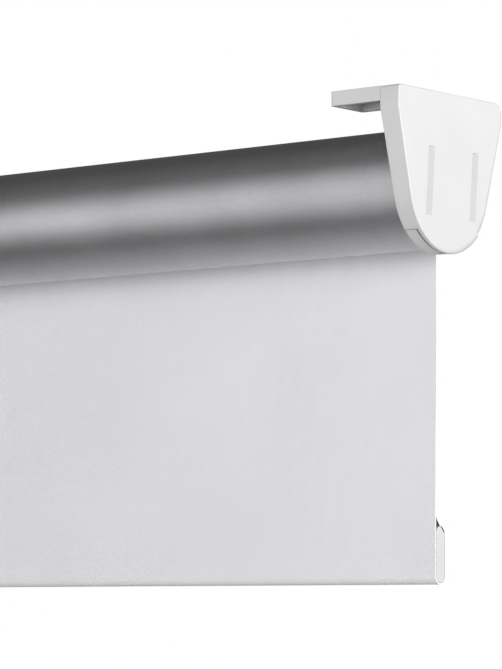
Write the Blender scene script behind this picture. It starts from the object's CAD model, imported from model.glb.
from math import acos, atan2, cos, hypot, pi, radians, sin

import bmesh
import bpy
from mathutils import Matrix, Vector, noise
from mathutils.geometry import delaunay_2d_cdt


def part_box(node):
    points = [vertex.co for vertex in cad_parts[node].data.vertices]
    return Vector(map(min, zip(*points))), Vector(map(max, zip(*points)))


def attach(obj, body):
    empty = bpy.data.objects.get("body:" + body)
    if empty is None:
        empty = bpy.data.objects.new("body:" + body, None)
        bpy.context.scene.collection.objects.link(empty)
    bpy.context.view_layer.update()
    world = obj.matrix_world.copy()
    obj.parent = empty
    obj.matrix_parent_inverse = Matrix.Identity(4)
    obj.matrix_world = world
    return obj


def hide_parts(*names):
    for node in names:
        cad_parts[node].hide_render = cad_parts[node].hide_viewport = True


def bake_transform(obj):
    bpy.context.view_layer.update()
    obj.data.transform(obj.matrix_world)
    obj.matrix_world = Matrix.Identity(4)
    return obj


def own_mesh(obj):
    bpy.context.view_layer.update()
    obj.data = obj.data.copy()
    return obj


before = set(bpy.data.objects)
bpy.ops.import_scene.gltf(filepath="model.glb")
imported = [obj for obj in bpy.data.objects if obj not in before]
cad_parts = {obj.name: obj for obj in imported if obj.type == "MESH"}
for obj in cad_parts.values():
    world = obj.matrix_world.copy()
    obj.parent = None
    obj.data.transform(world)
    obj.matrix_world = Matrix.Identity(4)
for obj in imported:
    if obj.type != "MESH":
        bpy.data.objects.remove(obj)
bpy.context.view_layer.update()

# ---------------------------------------------------------------- sizes, in metres, from the frame

MM = 0.001
roll_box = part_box("fabric_roll")
sheet_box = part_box("hanging_sheet")
pocket_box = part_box("hem_pocket")
cover_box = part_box("right_cover")

FABRIC_LEFT = roll_box[0][0]
FABRIC_RIGHT = roll_box[1][0]
AXIS_Y = (roll_box[0][1] + roll_box[1][1]) / 2
AXIS_Z = (roll_box[0][2] + roll_box[1][2]) / 2
ROLL_R = (roll_box[1][2] - roll_box[0][2]) / 2
TUBE_R = 19.05 * MM
FABRIC_THICK = sheet_box[1][1] - sheet_box[0][1]
SHEET_Y = (sheet_box[0][1] + sheet_box[1][1]) / 2
HEM_TOP = pocket_box[1][2]
HEM_BOTTOM = pocket_box[0][2]
HEM_HALF = (pocket_box[1][1] - pocket_box[0][1]) / 2
COVER_X = cover_box[1][0]
COVER_DEPTH = cover_box[1][0] - cover_box[0][0]
PROJECTION = -cover_box[0][1]
LIP = 8.7 * MM
SEAM_Z = -57.4 * MM

# ---------------------------------------------------------------- camera


CAMERA_AT = (1.1395, -1.1642, -0.2242)
CAMERA_TURN = 40.05
CAMERA_PITCH = 5.06
CAMERA_ROLL = 0.39
LENS = 184.95
SENSOR = 36.0


def add_camera():
    """A long lens from the right, in front and a little below, looking up at the right-hand end."""
    azimuth = radians(CAMERA_TURN)
    pitch = radians(CAMERA_PITCH)
    roll = radians(CAMERA_ROLL)
    right = Vector((cos(azimuth), sin(azimuth), 0))
    forward = Vector((-sin(azimuth) * cos(pitch), cos(azimuth) * cos(pitch), sin(pitch)))
    up = right.cross(forward)
    tilted_right = right * cos(roll) + up * sin(roll)
    tilted_up = up * cos(roll) - right * sin(roll)
    camera = bpy.data.objects.new("camera", bpy.data.cameras.new("camera"))
    bpy.context.scene.collection.objects.link(camera)
    rotation = Matrix((tilted_right, tilted_up, -forward)).transposed()
    camera.matrix_world = Matrix.Translation(CAMERA_AT) @ rotation.to_4x4()
    camera.data.lens = LENS
    camera.data.sensor_width = SENSOR
    camera.data.clip_start = 0.01
    camera.data.clip_end = 100
    bpy.context.scene.camera = camera


# ---------------------------------------------------------------- studio

WHITE = (1.0, 1.0, 1.0, 1.0)
ROOM_LIGHT = 0.1


def set_world():
    """A white room to look at, and a dim grey one to light and reflect."""
    world = bpy.data.worlds.new("studio")
    bpy.context.scene.world = world
    world.use_nodes = True
    nodes = world.node_tree.nodes
    links = world.node_tree.links
    nodes.clear()
    output = nodes.new("ShaderNodeOutputWorld")
    mix = nodes.new("ShaderNodeMixShader")
    seen = nodes.new("ShaderNodeBackground")
    seen.inputs["Color"].default_value = WHITE
    light = nodes.new("ShaderNodeBackground")
    light.inputs["Color"].default_value = WHITE
    light.inputs["Strength"].default_value = ROOM_LIGHT
    path = nodes.new("ShaderNodeLightPath")
    links.new(path.outputs["Is Camera Ray"], mix.inputs["Fac"])
    links.new(light.outputs["Background"], mix.inputs[1])
    links.new(seen.outputs["Background"], mix.inputs[2])
    links.new(mix.outputs["Shader"], output.inputs["Surface"])


def add_softbox(name, direction, distance, size, power, target):
    """A rectangular softbox, looking at a target from a direction."""
    data = bpy.data.lights.new(name, "AREA")
    data.shape = "RECTANGLE"
    data.size, data.size_y = size
    data.energy = power
    lamp = bpy.data.objects.new(name, data)
    bpy.context.scene.collection.objects.link(lamp)
    direction = Vector(direction).normalized()
    lamp.location = Vector(target) + direction * distance
    lamp.rotation_mode = "QUATERNION"
    lamp.rotation_quaternion = (-direction).to_track_quat("-Z", "Y")
    lamp.visible_camera = False


# Each softbox: direction from the target, distance, size, power.
SOFTBOXES = {
    "key_right": ((1.0, -0.25, -0.06), 1.6, (1.4, 0.8), 32.5),
    "strip_left": ((-0.54, -0.81, -0.02), 1.5, (0.7, 0.85), 4.6),
    "high_left": ((-0.42, -0.52, 0.75), 1.5, (1.0, 0.7), 0.6),
    "front": ((0.25, -1.0, -0.03), 1.8, (1.0, 0.6), 9.6),
    "back": ((0.35, 1.0, 0.35), 1.8, (1.4, 1.0), 8.0),
    "far_left": ((-1.0, -0.45, 0.1), 1.6, (0.8, 0.8), 1.2),
}


def add_lights():
    right_end = (COVER_X, AXIS_Y, AXIS_Z)
    for name, (direction, distance, size, power) in SOFTBOXES.items():
        add_softbox(name, direction, distance, size, power, right_end)


FLOOR_HALF = 6.0
FLOOR_LEVEL = -1.75


def add_floor():
    """A plain pale floor, well below the longest drop."""
    mesh = bpy.data.meshes.new("floor")
    signs = ((-1, -1), (1, -1), (1, 1), (-1, 1))
    corners = [(FLOOR_HALF * x, FLOOR_HALF * y, FLOOR_LEVEL) for x, y in signs]
    mesh.from_pydata(corners, [], [(0, 1, 2, 3)])
    floor = bpy.data.objects.new("floor", mesh)
    bpy.context.scene.collection.objects.link(floor)
    mesh.materials.append(floor_material())


# ---------------------------------------------------------------- materials


class Shader:
    """A Principled material and short calls for the nodes that feed it."""

    def __init__(self, name, **settings):
        self.material = bpy.data.materials.new(name)
        self.material.use_nodes = True
        self.nodes = self.material.node_tree.nodes
        self.links = self.material.node_tree.links
        self.bsdf = self.nodes["Principled BSDF"]
        for socket, value in settings.items():
            self.bsdf.inputs[socket.replace("_", " ")].default_value = value

    def node(self, kind, inputs=None, **settings):
        made = self.nodes.new("ShaderNode" + kind)
        for key, value in settings.items():
            setattr(made, key, value)
        for key, value in (inputs or {}).items():
            if isinstance(value, bpy.types.NodeSocket):
                self.links.new(value, made.inputs[key])
            else:
                made.inputs[key].default_value = value
        return made

    def coords(self, kind="Object", scale=(1, 1, 1)):
        source = self.node("TexCoord").outputs[kind]
        return self.node("Mapping", {"Vector": source, "Scale": scale}).outputs["Vector"]

    def noise(self, vector, scale, detail=3.0, rough=0.5):
        inputs = {"Vector": vector, "Scale": scale, "Detail": detail, "Roughness": rough}
        return self.node("TexNoise", inputs).outputs["Fac"]

    def ramp(self, fac, low, high, start=0.3, end=0.7):
        made = self.node("ValToRGB", {"Fac": fac})
        made.color_ramp.elements[0].position = start
        made.color_ramp.elements[0].color = low
        made.color_ramp.elements[1].position = end
        made.color_ramp.elements[1].color = high
        return made.outputs["Color"]

    def range(self, value, low, high):
        inputs = {"Value": value, "To Min": low, "To Max": high}
        return self.node("MapRange", inputs).outputs["Result"]

    def math(self, operation, first, second=0.0):
        made = self.node("Math", {0: first, 1: second}, operation=operation)
        return made.outputs["Value"]

    def feed(self, socket, value):
        self.links.new(value, self.bsdf.inputs[socket])

    def bump(self, height, strength, distance):
        inputs = {"Height": height, "Strength": strength, "Distance": distance}
        self.feed("Normal", self.node("Bump", inputs).outputs["Normal"])


def grey(value):
    return (value, value, value, 1.0)


def floor_material():
    shader = Shader("floor", Roughness=0.9)
    fac = shader.noise(shader.coords(), 3.0)
    shader.feed("Base Color", shader.ramp(fac, grey(0.86), grey(0.9)))
    return shader.material


SKIN_SCALE = 1040.0
SKIN_DEPTH = 0.02 * MM


def plastic(name, low, high, rough):
    """Moulded plastic: faint mottling, uneven gloss and a fine moulded skin."""
    shader = Shader(name)
    where = shader.coords()
    shader.feed("Base Color", shader.ramp(shader.noise(where, 35.0), low, high))
    patches = shader.noise(where, 90.0, 4.0)
    shader.feed("Roughness", shader.range(patches, rough - 0.05, rough + 0.05))
    shader.bump(shader.noise(where, SKIN_SCALE, 2.0), 0.25, SKIN_DEPTH)
    return shader.material


def metal(name, low, high, rough, along=(1.0, 60.0, 60.0)):
    """Drawn or turned metal, with fine lines along the drawing direction."""
    shader = Shader(name, Metallic=1.0)
    lines = shader.noise(shader.coords(scale=along), 40.0, 6.0, 0.65)
    shader.feed("Base Color", shader.ramp(lines, low, high))
    shader.feed("Roughness", shader.range(lines, rough - 0.08, rough + 0.1))
    shader.bump(lines, 0.3, SKIN_DEPTH)
    return shader.material


WEAVE_PITCH = 1.05 * MM
YARN_SCALE = 700.0         # how finely the yarns vary
ROOM_SHARE = 0.9           # of the weave in each side's colour
SILVER_SHARE = 1.1
ROOM_RELIEF = 0.12 * MM
SILVER_RELIEF = 0.07 * MM


def wrapped_coords(shader):
    """Coordinates of cloth wrapped round the roller: along X and round the axis, in metres."""
    split = shader.node("SeparateXYZ", {"Vector": shader.coords()})
    rise = shader.math("SUBTRACT", split.outputs["Z"], AXIS_Z)
    out = shader.math("SUBTRACT", split.outputs["Y"], AXIS_Y)
    round_axis = shader.math("MULTIPLY", shader.math("ARCTAN2", rise, out), -ROLL_R)
    return shader.node("CombineXYZ", {"X": split.outputs["X"], "Y": round_axis}).outputs["Vector"]


def weave_height(shader, where):
    """Height of a fine weave with its yarns on the bias, at a place in metres of cloth."""
    split = shader.node("SeparateXYZ", {"Vector": where})
    waves = []
    for axis in ("X", "Y"):
        angle = shader.math("MULTIPLY", split.outputs[axis], 2 * pi / WEAVE_PITCH)
        waves.append(shader.math("SINE", angle))
    uneven = shader.range(shader.noise(where, YARN_SCALE, 2.0), 0.4, 1.8)
    return shader.math("MULTIPLY", shader.math("MULTIPLY", waves[0], waves[1]), uneven)


def room_cloth():
    """The light side of the cloth: fine dots of yarn, faintly cloudy."""
    shader = Shader("room_cloth", Roughness=0.85, Sheen_Weight=0.1, Sheen_Roughness=0.5)
    where = shader.coords("UV")
    dots = weave_height(shader, where)
    clouds = shader.noise(where, 14.0, 4.0)
    mixed = shader.math("ADD", shader.math("MULTIPLY", dots, ROOM_SHARE), clouds)
    colour = shader.ramp(mixed, (0.8, 0.8, 0.825, 1), (0.96, 0.96, 0.985, 1), 0.0, 1.0)
    shader.feed("Base Color", colour)
    shader.bump(dots, 0.8, ROOM_RELIEF)
    return shader.material


def silver_cloth(name, wrapped=False):
    """The metallised back of the cloth: satin silver over the same weave."""
    shader = Shader(name, Metallic=1.0)
    where = wrapped_coords(shader) if wrapped else shader.coords("UV")
    dots = weave_height(shader, where)
    clouds = shader.noise(where, 20.0, 5.0)
    mixed = shader.math("ADD", shader.math("MULTIPLY", dots, SILVER_SHARE), clouds)
    colour = shader.ramp(mixed, (0.36, 0.36, 0.375, 1), (0.66, 0.66, 0.68, 1), 0.0, 1.0)
    shader.feed("Base Color", colour)
    shader.feed("Roughness", shader.range(clouds, 0.30, 0.34))
    shader.bump(dots, 0.7, SILVER_RELIEF)
    return shader.material


def make_materials():
    return {
        "white": plastic("white_plastic", grey(0.63), grey(0.66), 0.34),
        "matt_white": plastic("matt_white_plastic", grey(0.53), grey(0.56), 0.6),
        "natural": plastic("natural_acetal", (0.72, 0.70, 0.64, 1), (0.78, 0.76, 0.70, 1), 0.4),
        "black": plastic("black_nylon", grey(0.018), grey(0.03), 0.5),
        "silver": plastic("silver_plastic", grey(0.3), grey(0.36), 0.42),
        "strip": plastic("strip_plastic", grey(0.55), grey(0.6), 0.45),
        "aluminium": metal("mill_aluminium", grey(0.62), grey(0.72), 0.34),
        "steel": metal("zinc_steel", grey(0.5), grey(0.62), 0.36, (60.0, 60.0, 60.0)),
        "room_cloth": room_cloth(),
        "silver_cloth": silver_cloth("silver_cloth"),
        "silver_collar": silver_cloth("silver_collar", wrapped=True),
    }


NODE_MATERIALS = {
    "right_bracket": "white", "left_bracket": "white",
    "right_cover": "white", "left_cover": "white",
    "chain_guard": "white", "chain_wheel": "white",
    "right_hem_cap": "white", "left_hem_cap": "white",
    "pin_bush": "natural", "clutch_hub": "black", "drive_sleeve": "black", "spring_cap": "black",
    "idle_plug": "silver_collar", "tube_adaptor": "silver", "fabric_strip": "strip",
    "roller_tube": "aluminium", "hem_bar": "aluminium",
    "idle_pin": "steel", "idle_spring": "steel", "outer_wrap_spring": "steel",
    "inner_wrap_spring": "steel", "clutch_screws": "steel", "clutch_washer": "steel",
    "fabric_roll": "silver_cloth", "hanging_sheet": "room_cloth", "hem_pocket": "room_cloth",
}


def dress_nodes(materials):
    for node, name in NODE_MATERIALS.items():
        mesh = bpy.data.objects[node].data
        mesh.materials.clear()
        mesh.materials.append(materials[name])


# ---------------------------------------------------------------- mesh helpers

PLAIN_FACE = 9             # a face with this many corners is a flat one
SHARP_ANGLE = 35.0         # an edge that turns more than this stays hard


def applied(piece):
    """Replaces a piece's mesh with the result of its modifiers."""
    graph = bpy.context.evaluated_depsgraph_get()
    done = bpy.data.meshes.new_from_object(piece.evaluated_get(graph))
    piece.modifiers.clear()
    piece.data = done


def shade(piece):
    """Smooth shading, with many-cornered faces flat and sharp edges left hard."""
    mesh = piece.data
    sculpt = bmesh.new()
    sculpt.from_mesh(mesh)
    for face in sculpt.faces:
        face.smooth = len(face.verts) < PLAIN_FACE
    for edge in sculpt.edges:
        joined = len(edge.link_faces) == 2
        edge.smooth = joined and edge.calc_face_angle(0) < radians(SHARP_ANGLE)
    sculpt.to_mesh(mesh)
    sculpt.free()
    weighted = piece.modifiers.new("normals", "WEIGHTED_NORMAL")
    weighted.keep_sharp = True
    applied(piece)


def new_piece(name, mesh, material, body, node):
    """A piece that rides on a body, stands for a CAD node and takes a slot's finish."""
    piece = bpy.data.objects.new(name, mesh)
    bpy.context.scene.collection.objects.link(piece)
    mesh.materials.clear()
    mesh.materials.append(material)
    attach(piece, body)
    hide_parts(node)
    return piece


# ---------------------------------------------------------------- cloth


def ribbon(name, path, cuts, thick, ripple, outer, inner, edge):
    """A closed strip of cloth along a path in the YZ plane, as wide as its cuts in X.

    path is a list of (y, z) in order; the outer side is on the path's left, looking along +X.
    ripple(x, run) moves a point along its normal. The UV map is in metres of cloth.
    """
    mesh = bpy.data.meshes.new(name)
    runs = [0.0]
    for before, after in zip(path, path[1:]):
        runs.append(runs[-1] + hypot(after[0] - before[0], after[1] - before[1]))
    normals = []
    for i in range(len(path)):
        a = path[max(i - 1, 0)]
        b = path[min(i + 1, len(path) - 1)]
        length = hypot(b[0] - a[0], b[1] - a[1])
        normals.append((-(b[1] - a[1]) / length, (b[0] - a[0]) / length))
    count = len(cuts)
    points = []
    for side in (1, -1):
        for (y, z), (ny, nz), run in zip(path, normals, runs):
            for x in cuts:
                shift = side * thick / 2 + ripple(x, run)
                points.append((x, y + ny * shift, z + nz * shift))
    layer = len(path) * count
    faces, uvs, slots = [], [], []

    def add(quad, slot):
        faces.append(quad)
        slots.append(slot)
        uvs.append([(points[k][0], runs[(k % layer) // count]) for k in quad])

    for i in range(len(path) - 1):
        for j in range(count - 1):
            a = i * count + j
            add((a, a + 1, a + count + 1, a + count), 0)
            add((a + layer, a + count + layer, a + count + 1 + layer, a + 1 + layer), 1)
        for a, step in ((i * count, 1), (i * count + count - 1, -1)):
            quad = (a, a + count, a + count + layer, a + layer)
            add(quad if step == 1 else quad[::-1], 2)
    for a, step in ((0, 1), (len(path) * count - count, -1)):
        for j in range(count - 1):
            quad = (a + j, a + j + layer, a + j + 1 + layer, a + j + 1)
            add(quad if step == 1 else quad[::-1], 2)
    mesh.from_pydata(points, [], faces)
    layer_uv = mesh.uv_layers.new(name="cloth")
    flat = [c for face in uvs for uv in face for c in uv]
    layer_uv.data.foreach_set("uv", flat)
    for material in (outer, inner, edge):
        mesh.materials.append(material)
    mesh.polygons.foreach_set("material_index", slots)
    mesh.update()
    piece = bpy.data.objects.new(name, mesh)
    bpy.context.scene.collection.objects.link(piece)
    shade(piece)
    return piece, runs[-1]


def spread(low, high, step):
    """Evenly spaced numbers from low to high, about a step apart."""
    count = max(1, round(abs(high - low) / step))
    return [low + (high - low) * i / count for i in range(count + 1)]


def smooth(t):
    t = min(max(t, 0.0), 1.0)
    return t * t * (3 - 2 * t)


def arc(centre, radius, start, end, step=4.0):
    """Points on an arc, angles in degrees from +Y towards +Z."""
    return [
        (centre[0] + radius * cos(radians(a)), centre[1] + radius * sin(radians(a)))
        for a in spread(start, end, step)
    ]


HUG_ANGLE = 75.0           # how far up the roll the sheet starts
TUCK = 1.2 * MM            # and how deep its start lies in the roll
WELD_RISE = 2.0 * MM
SHOULDER = 9.0 * MM        # height over which the pocket narrows to its weld
LAP = 5.0 * MM
LAP_GAP = 0.02 * MM


def hanging_path():
    """The middle of the cloth: off the roll, down, round the hem bar and up to the weld."""
    leave_r = SHEET_Y - AXIS_Y
    path = []
    for angle in spread(HUG_ANGLE, 0.0, 3.0):
        sink = TUCK * smooth(angle / HUG_ANGLE)
        r = leave_r - sink
        path.append((AXIS_Y + r * cos(radians(angle)), AXIS_Z + r * sin(radians(angle))))
    weld_z = HEM_TOP + WELD_RISE
    turn_r = HEM_HALF - FABRIC_THICK / 2
    turn_z = HEM_BOTTOM + HEM_HALF
    path += [(SHEET_Y, z) for z in spread(AXIS_Z, turn_z, 4 * MM)[1:]]
    path += arc((SHEET_Y + turn_r, turn_z), turn_r, 180.0, 360.0, 10.0)[1:]
    back_y = SHEET_Y + 2 * turn_r
    path += [(back_y, z) for z in spread(turn_z, weld_z - SHOULDER, 3 * MM)[1:]]
    lap_y = SHEET_Y + FABRIC_THICK + LAP_GAP
    for t in spread(0.0, 1.0, 0.1)[1:]:
        path.append((back_y + (lap_y - back_y) * smooth(t), weld_z - (1 - t) * SHOULDER))
    path += [(lap_y, z) for z in spread(weld_z, weld_z + LAP, 1 * MM)[1:]]
    return path


RIPPLE = 0.9 * MM


def hang_sheet(materials):
    """The sheet: silver behind, light in front, faintly rippled between roll and hem."""
    cuts = spread(FABRIC_LEFT, FABRIC_RIGHT, 5 * MM)
    path = hanging_path()
    run_off = radians(HUG_ANGLE) * (SHEET_Y - AXIS_Y)
    drop = AXIS_Z - HEM_TOP

    def ripple(x, run):
        along = (run - run_off) / drop
        if not 0 < along < 1:
            return 0.0
        wave = noise.noise(Vector((x * 6.0, along * 1.5, 2.7)))
        return RIPPLE * wave * sin(pi * along) ** 1.5

    piece, length = ribbon(
        "sheet_cloth", path, cuts, FABRIC_THICK, ripple,
        materials["silver_cloth"], materials["room_cloth"], materials["room_cloth"],
    )
    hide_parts("hanging_sheet", "hem_pocket")
    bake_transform(piece)


TELESCOPE = 0.38 * MM      # the outer turn's creep towards the collar
TURN_GAP = 0.06 * MM
EDGE_GAP = 0.3 * MM
LUMPS = 0.04 * MM


def wind_roll(materials):
    """The wound cloth: a loose spiral under one closed outer turn."""
    wraps = round((ROLL_R - TUBE_R) / FABRIC_THICK)
    pitch = (ROLL_R - TUBE_R) / wraps
    path = []
    for angle in spread(0.0, 360.0 * (wraps - 2), 6.0):
        r = TUBE_R + pitch * (angle / 360.0 + 0.5)
        path.append((AXIS_Y + r * cos(radians(angle)), AXIS_Z + r * sin(radians(angle))))
    thin = pitch - TURN_GAP

    def still(x, run):
        return 0.0

    cuts = [FABRIC_LEFT + EDGE_GAP, FABRIC_RIGHT - EDGE_GAP]
    core, _ = ribbon(
        "wound_layers", path[::-1], cuts, thin, still,
        materials["silver_cloth"], materials["room_cloth"], materials["silver_cloth"],
    )
    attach(core, "roller")
    outer_r = ROLL_R - FABRIC_THICK / 2

    def uneven(x, run):
        angle = run / outer_r
        return LUMPS * noise.noise(Vector((x * 9.0, 1.4 * cos(angle), 1.4 * sin(angle))))

    ring = arc((AXIS_Y, AXIS_Z), outer_r, 360.0, 0.0, 2.5)
    skin_cuts = spread(FABRIC_LEFT, FABRIC_RIGHT + TELESCOPE, 6 * MM)
    skin, _ = ribbon(
        "outer_turn", ring, skin_cuts, FABRIC_THICK, uneven,
        materials["silver_cloth"], materials["room_cloth"], materials["silver_cloth"],
    )
    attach(skin, "roller")
    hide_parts("fabric_roll")


# ---------------------------------------------------------------- moulded pieces

FRONT_CORNER_R = 1.2 * MM
BEND_R = 3.0 * MM
BACK_BEND_R = 9.0 * MM
BACK_CORNER_R = 7.0 * MM
BOTTOM_R = 27.9 * MM
SHARP_R = 0.45 * MM
SOFT_R = 4.7 * MM
LEAN = 0.02
SKIRT_WALL = 0.9 * MM
FACE_WALL = 1.7 * MM
CUT_DEPTH = 3.3 * MM
LIP_R = 0.3 * MM           # at the skirt's free edge
FACE_INSET = 0.6 * MM      # from the rounded edge to the flat face
STUB_SHARE = 0.2           # of the inner radius, where there is no skirt
GROOVE_Y = 15.0 * MM
GROOVE_HALF = 2.05 * MM
GROOVE_DEEP = 1.2 * MM
GROOVE_Z = (-22.8 * MM, -51.4 * MM)
GROOVE_SLANT = (1.1 * MM, -0.3 * MM)


def rounded(corners, step):
    """A closed outline with a radius at each corner.

    Each entry is a point, its inward normal, its corner's number and the share of its turn.
    """
    found = []
    for i, (corner, radius) in enumerate(corners):
        before = (Vector(corners[i - 1][0]) - Vector(corner)).normalized()
        after = (Vector(corners[(i + 1) % len(corners)][0]) - Vector(corner)).normalized()
        half = before.angle(after) / 2
        centre = Vector(corner) + (before + after).normalized() * radius / sin(half)
        first = Vector(corner) + before * radius * cos(half) / sin(half)
        turn = pi - 2 * half
        count = max(2, round(turn * radius / step))
        way = 1 if before.x * after.y - before.y * after.x < 0 else -1
        for k in range(count + 1):
            arm = first - centre
            angle = way * turn * k / count
            along, across = cos(angle), sin(angle)
            spun = Vector((arm.x * along - arm.y * across, arm.x * across + arm.y * along))
            found.append((centre + spun, -spun.normalized(), i, k / count))
    return found


def shield_outline():
    """The cover's outline in Y and Z: point, inward normal, softness of the outer edge."""
    reach = hypot(PROJECTION / 2, AXIS_Z + LIP)
    slope = atan2(-LIP - AXIS_Z, PROJECTION / 2) - acos(BOTTOM_R / reach)
    side = Vector((-sin(slope), cos(slope)))
    apex_z = -LIP - (PROJECTION / 2) * side.y / abs(side.x)
    corners = [
        ((-PROJECTION, 0), FRONT_CORNER_R),
        ((0, 0), BACK_CORNER_R),
        ((0, -LIP), BACK_BEND_R),
        ((-PROJECTION / 2, apex_z), BOTTOM_R),
        ((-PROJECTION, -LIP), BEND_R),
    ]
    outline = []
    for point, normal, corner, share in rounded(corners, 1.0 * MM):
        softness = [0.0, smooth(share), 1.0, 1 - smooth(share * 1.25), 0.0][corner]
        outline.append((point, normal, softness))
    return outline


def with_seam(outline):
    """Adds the two points where the skirt stops, and says at each point if it has a skirt."""
    found = []
    shifted = outline[1:] + outline[:1]
    for (here, normal, soft), (there, next_normal, next_soft) in zip(outline, shifted):
        found.append((here, normal, soft, here.y > SEAM_Z))
        if (here.y > SEAM_Z) != (there.y > SEAM_Z):
            share = (SEAM_Z - here.y) / (there.y - here.y)
            cut = here.lerp(there, share)
            across = normal.lerp(next_normal, share).normalized()
            mixed = soft + (next_soft - soft) * share
            found.append((cut, across, mixed, here.y > SEAM_Z))
            found.append((cut.lerp(there, 0.01), across, mixed, there.y > SEAM_Z))
    return found


def face_x(z):
    """The cover's outer face leans in as it goes down."""
    return COVER_X + LEAN * z


def groove_corners():
    """Each groove's opening in the face, in Y and Z: top front, top back, foot back, foot front."""
    openings = []
    for middle_y in (AXIS_Y - GROOVE_Y, AXIS_Y + GROOVE_Y):
        (top_y, foot_y) = (middle_y + slant for slant in GROOVE_SLANT)
        top, foot = GROOVE_Z
        openings.append([
            Vector((top_y - GROOVE_HALF, top)),
            Vector((top_y + GROOVE_HALF, top)),
            Vector((foot_y + GROOVE_HALF, foot)),
            Vector((foot_y - GROOVE_HALF, foot)),
        ])
    return openings


def add_face(sculpt, loop, side):
    """Fills a cover's face inside a loop of vertices, and cuts the two wedge-shaped grooves."""
    flat = [Vector((v.co.y, v.co.z)) for v in loop]
    openings = groove_corners()
    points = flat + [corner for opening in openings for corner in opening]
    count = len(flat)
    edges = [(i, (i + 1) % count) for i in range(count)]
    for g in range(len(openings)):
        start = count + 4 * g
        edges += [(start + k, start + (k + 1) % 4) for k in range(4)]
    found = delaunay_2d_cdt(points, edges, [list(range(count))], 1, 1e-7)
    corners = list(loop)
    for opening in openings:
        corners += [sculpt.verts.new((side * face_x(c.y), *c)) for c in opening]
    used = [corners[sources[0]] for sources in found[3]]
    for triangle in found[2]:
        middle = sum((found[0][k] for k in triangle), Vector((0, 0))) / 3
        if not any(inside(middle, opening) for opening in openings):
            sculpt.faces.new([used[k] for k in triangle])
    for g in range(len(openings)):
        rim = corners[count + 4 * g:count + 4 * g + 4]
        deep = [sculpt.verts.new(rim[k].co - Vector((side * GROOVE_DEEP, 0, 0))) for k in (0, 3)]
        walls = [
            (deep[0], rim[1], rim[2], deep[1]),
            (rim[0], deep[0], deep[1], rim[3]),
            (rim[0], rim[1], deep[0]),
            (rim[3], deep[1], rim[2]),
        ]
        for wall in walls:
            sculpt.faces.new(wall).material_index = 1


def inside(point, opening):
    """Whether a point lies inside a groove's opening."""
    turns = []
    for k, corner in enumerate(opening):
        side = opening[(k + 1) % len(opening)] - corner
        out = point - corner
        turns.append(side.x * out.y - side.y * out.x)
    return all(turn > 0 for turn in turns) or all(turn < 0 for turn in turns)


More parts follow.
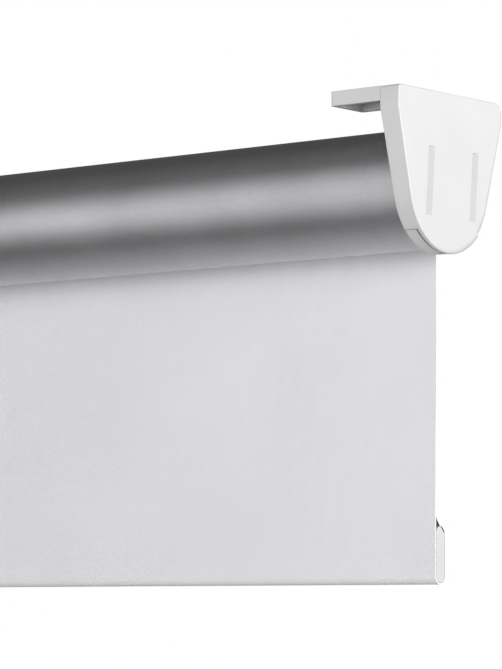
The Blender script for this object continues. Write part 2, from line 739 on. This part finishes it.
def cover_shell(side):
    """One moulded cover: skirt, face with its soft back edge, and the wall's inside."""
    rim = with_seam(shield_outline())
    rings = []

    def ring(section):
        row = []
        for place, normal, soft, skirt in rim:
            inset, depth = section(soft, skirt)
            at = place + normal * inset
            lean = LEAN * at.y * (1 - depth / end_depth(skirt))
            row.append(Vector((side * (COVER_X + lean - depth), *at)))
        rings.append(row)

    def end_depth(skirt):
        return COVER_DEPTH if skirt else CUT_DEPTH

    def edge_radius(soft):
        return SHARP_R + (SOFT_R - SHARP_R) * soft

    for t in (0.0, 0.25, 0.5, 0.75, 1.0):
        inner, out = cos(t * pi / 2), sin(t * pi / 2)
        ring(lambda soft, skirt: (LIP_R * (1 - out), end_depth(skirt) - LIP_R * (1 - inner)))
    for t in spread(0.0, 1.0, 1 / 8):
        def outer(soft, skirt, a=t * pi / 2):
            r = min(edge_radius(soft), end_depth(skirt) - LIP_R)
            return r * (1 - cos(a)), r * (1 - sin(a))
        ring(outer)
    ring(lambda soft, skirt: (edge_radius(soft) + FACE_INSET, 0.0))
    outside = len(rings)
    for t in spread(0.0, 1.0, 1 / 4)[::-1]:
        def inner_side(soft, skirt, a=t * pi / 2):
            r = max(edge_radius(soft) - SKIRT_WALL, LIP_R)
            sunk = r * (1 - sin(a)) * (1 if skirt else STUB_SHARE)
            return SKIRT_WALL + r * (1 - cos(a)), FACE_WALL + sunk
        ring(inner_side)
    ring(lambda soft, skirt: (SKIRT_WALL, end_depth(skirt)))
    points = [v for row in rings for v in row]
    count = len(rim)
    faces = []
    for r in range(len(rings)):
        if r == outside - 1:
            continue
        nxt = (r + 1) % len(rings)
        for i in range(count):
            j = (i + 1) % count
            faces.append((r * count + i, r * count + j, nxt * count + j, nxt * count + i))
    faces.append(tuple(range(outside * count, (outside + 1) * count)))
    mesh = bpy.data.meshes.new("cover")
    mesh.from_pydata(points, [], faces)
    sculpt = bmesh.new()
    sculpt.from_mesh(mesh)
    sculpt.verts.ensure_lookup_table()
    add_face(sculpt, sculpt.verts[(outside - 1) * count:outside * count], side)
    bmesh.ops.recalc_face_normals(sculpt, faces=sculpt.faces)
    sculpt.to_mesh(mesh)
    sculpt.free()
    return mesh


def make_cover(name, side, materials):
    """A cover, with its grooves in a slightly darker, matt white."""
    mesh = cover_shell(side)
    in_groove = [face.material_index for face in mesh.polygons]
    piece = new_piece(name + "_shell", mesh, materials["white"], "root", name)
    mesh.materials.append(materials["matt_white"])
    mesh.polygons.foreach_set("material_index", in_groove)
    shade(piece)


WELD_GAP = 0.002 * MM
FLAT_ANGLE = 0.5
BREAK = 0.35 * MM          # size of the bracket's broken corners
BREAK_ANGLE = 40


def make_bracket(name, materials):
    """The bracket with its corners broken, as a moulding has them."""
    mesh = bpy.data.objects[name].data.copy()
    sculpt = bmesh.new()
    sculpt.from_mesh(mesh)
    bmesh.ops.remove_doubles(sculpt, verts=sculpt.verts, dist=WELD_GAP)
    limit = radians(FLAT_ANGLE)
    bmesh.ops.dissolve_limit(sculpt, angle_limit=limit, verts=sculpt.verts, edges=sculpt.edges)
    sculpt.to_mesh(mesh)
    sculpt.free()
    piece = new_piece(name + "_moulding", mesh, materials["white"], "root", name)
    bevel = piece.modifiers.new("corners", "BEVEL")
    bevel.width = BREAK
    bevel.segments = 2
    bevel.limit_method = "ANGLE"
    bevel.angle_limit = radians(BREAK_ANGLE)
    applied(piece)
    shade(piece)


def make_idle_spring(materials):
    """The idle pin's spring, which shortens as the pin is pressed in."""
    mesh = bpy.data.objects["idle_spring"].data.copy()
    steel = materials["steel"]
    piece = new_piece("idle_spring_coil", mesh, steel, "roller", "idle_spring")
    shade(piece)
    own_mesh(piece)


# ---------------------------------------------------------------- run

add_camera()
set_world()
bpy.context.scene.view_settings.view_transform = "Standard"
MATERIALS = make_materials()
dress_nodes(MATERIALS)
add_lights()
add_floor()
hang_sheet(MATERIALS)
wind_roll(MATERIALS)
for cover_name, cover_side in (("right_cover", 1), ("left_cover", -1)):
    make_cover(cover_name, cover_side, MATERIALS)
for bracket_name in ("right_bracket", "left_bracket"):
    make_bracket(bracket_name, MATERIALS)
make_idle_spring(MATERIALS)
